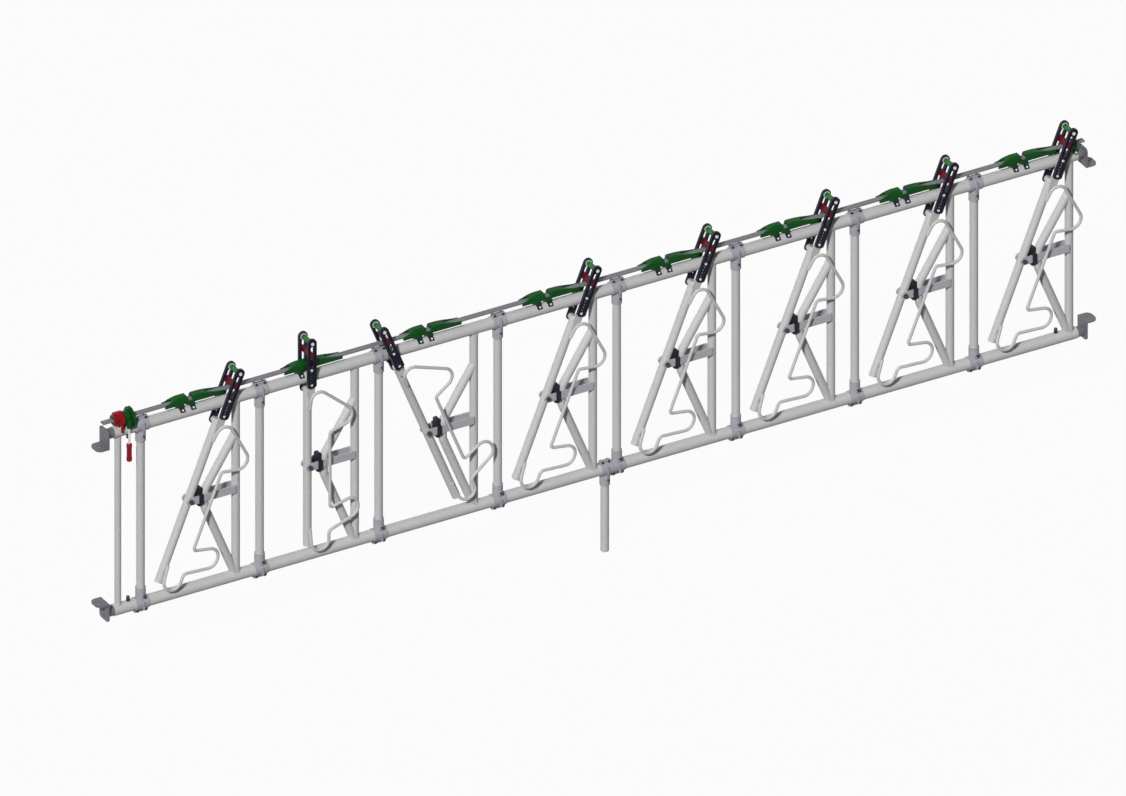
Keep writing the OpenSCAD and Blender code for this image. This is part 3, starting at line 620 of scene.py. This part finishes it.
# seams at both ends of a guard rod, along the rod's two sides
def buildRodWelds(index):
    body = "place_" + str(index)
    pivot = pivots[body]
    spool = [middle("spool_" + str(index), axis) for axis in (0, 2)]
    lean = math.atan2(spool[0] - pivot.x, spool[1] - pivot.z)
    shape = bmesh.new()
    seam = seamBead(rodWeld["length"], rodWeld["radius"])
    turn = Matrix.Translation(pivot) @ Matrix.Rotation(lean, 4, "Y")
    for height in rodWeld["heights"]:
        for side in (-1, 1):
            place = (side * rodWeld["side"], -tubeRadius - rodWeld["out"], height)
            stamp(shape, seam, turn @ Matrix.Translation(place))
    finishPiece("rodWelds" + str(index), shape, materials["weldSteel"], body)


buildFrameWelds()
for index in range(1, places + 1):
    buildRodWelds(index)
print("weld beads on the frame and", places, "stanchions")


# the floor shows its shadows faintly and is near white to the camera
floorLook = {"size": 60.0, "color": (0.22, 0.22, 0.22, 1.0), "roughness": 0.9, "glow": 0.96}


# 1 where the camera, a reflection or a clear surface looks, so that the background stays white there
def seenShare(tree):
    rays = addNode(tree, "ShaderNodeLightPath")
    seen = mathNode(tree, "MAXIMUM", rays.outputs["Is Camera Ray"], rays.outputs["Is Glossy Ray"])
    return mathNode(tree, "MAXIMUM", seen, rays.outputs["Is Transmission Ray"])


def buildFloor():
    mesh = bpy.data.meshes.new("floor")
    shape = bmesh.new()
    bmesh.ops.create_grid(shape, x_segments=1, y_segments=1, size=floorLook["size"] / 2)
    shape.to_mesh(mesh)
    shape.free()
    floor = bpy.data.objects.new("floor", mesh)
    bpy.context.collection.objects.link(floor)
    material = bpy.data.materials.new("paleFloor")
    material.use_nodes = True
    tree = material.node_tree
    shader = tree.nodes["Principled BSDF"]
    shader.inputs["Base Color"].default_value = floorLook["color"]
    shader.inputs["Roughness"].default_value = floorLook["roughness"]
    shader.inputs["Specular IOR Level"].default_value = 0.0
    glow = addNode(tree, "ShaderNodeEmission")
    share = mathNode(tree, "MULTIPLY", seenShare(tree), floorLook["glow"])
    mix = addNode(tree, "ShaderNodeMixShader")
    tree.links.new(share, mix.inputs[0])
    tree.links.new(shader.outputs[0], mix.inputs[1])
    tree.links.new(glow.outputs[0], mix.inputs[2])
    tree.links.new(mix.outputs[0], tree.nodes["Material Output"].inputs["Surface"])
    mesh.materials.append(material)


lightPlan = {
    "sky": 0.06,
    "key": {"energy": 3.0, "angle": 6.0, "from": (-2.3, -2.1, 2.4)},
    "fill": {"energy": 0.12, "angle": 50.0, "from": (2.2, -1.6, 1.0)},
    "back": {"energy": 1.4, "angle": 50.0, "from": (-0.6, 2.6, 0.5)},
}


def buildLights():
    world = bpy.data.worlds.new("studio")
    bpy.context.scene.world = world
    world.use_nodes = True
    tree = world.node_tree
    background = tree.nodes["Background"]
    lift = mathNode(tree, "MULTIPLY", seenShare(tree), 1.0 - lightPlan["sky"])
    tree.links.new(mathNode(tree, "ADD", lift, lightPlan["sky"]), background.inputs["Strength"])
    background.inputs["Color"].default_value = (1.0, 1.0, 1.0, 1.0)
    for name in ("key", "fill", "back"):
        plan = lightPlan[name]
        lamp = bpy.data.lights.new(name, "SUN")
        lamp.energy = plan["energy"]
        lamp.angle = math.radians(plan["angle"])
        holder = bpy.data.objects.new(name, lamp)
        holder.location = Vector(plan["from"])
        holder.rotation_mode = "QUATERNION"
        holder.rotation_quaternion = Vector(plan["from"]).to_track_quat("Z", "Y")
        bpy.context.collection.objects.link(holder)


# the photograph is a parallel view from the front left, 30 degrees above the floor
photo = {
    "width": 1126,
    "height": 796,
    "pixelsPerMetre": 206.4,
    "azimuth": -30.0,
    "elevation": 30.0,
    "legPixel": (604.7, 550.4),
    "distance": 12.0,
    "clipEnd": 100.0,
}


def buildCamera():
    turn = math.radians(photo["azimuth"])
    tilt = math.radians(photo["elevation"])
    right = Vector((math.cos(turn), math.sin(turn), 0.0))
    back = Vector((math.sin(turn) * math.cos(tilt), -math.cos(turn) * math.cos(tilt), math.sin(tilt)))
    up = back.cross(right)
    across = (photo["width"] / 2 - photo["legPixel"][0]) / photo["pixelsPerMetre"]
    above = (photo["legPixel"][1] - photo["height"] / 2) / photo["pixelsPerMetre"]
    camera = bpy.data.cameras.new("photoCamera")
    camera.type = "ORTHO"
    camera.ortho_scale = photo["width"] / photo["pixelsPerMetre"]
    camera.clip_end = photo["clipEnd"]
    holder = bpy.data.objects.new("photoCamera", camera)
    holder.location = right * across + up * above + back * photo["distance"]
    holder.rotation_mode = "QUATERNION"
    holder.rotation_quaternion = back.to_track_quat("Z", "Y")
    bpy.context.collection.objects.link(holder)
    bpy.context.scene.camera = holder


buildFloor()
buildLights()
buildCamera()
bpy.context.scene.view_settings.view_transform = "Standard"
print("stage, lights and camera ready")
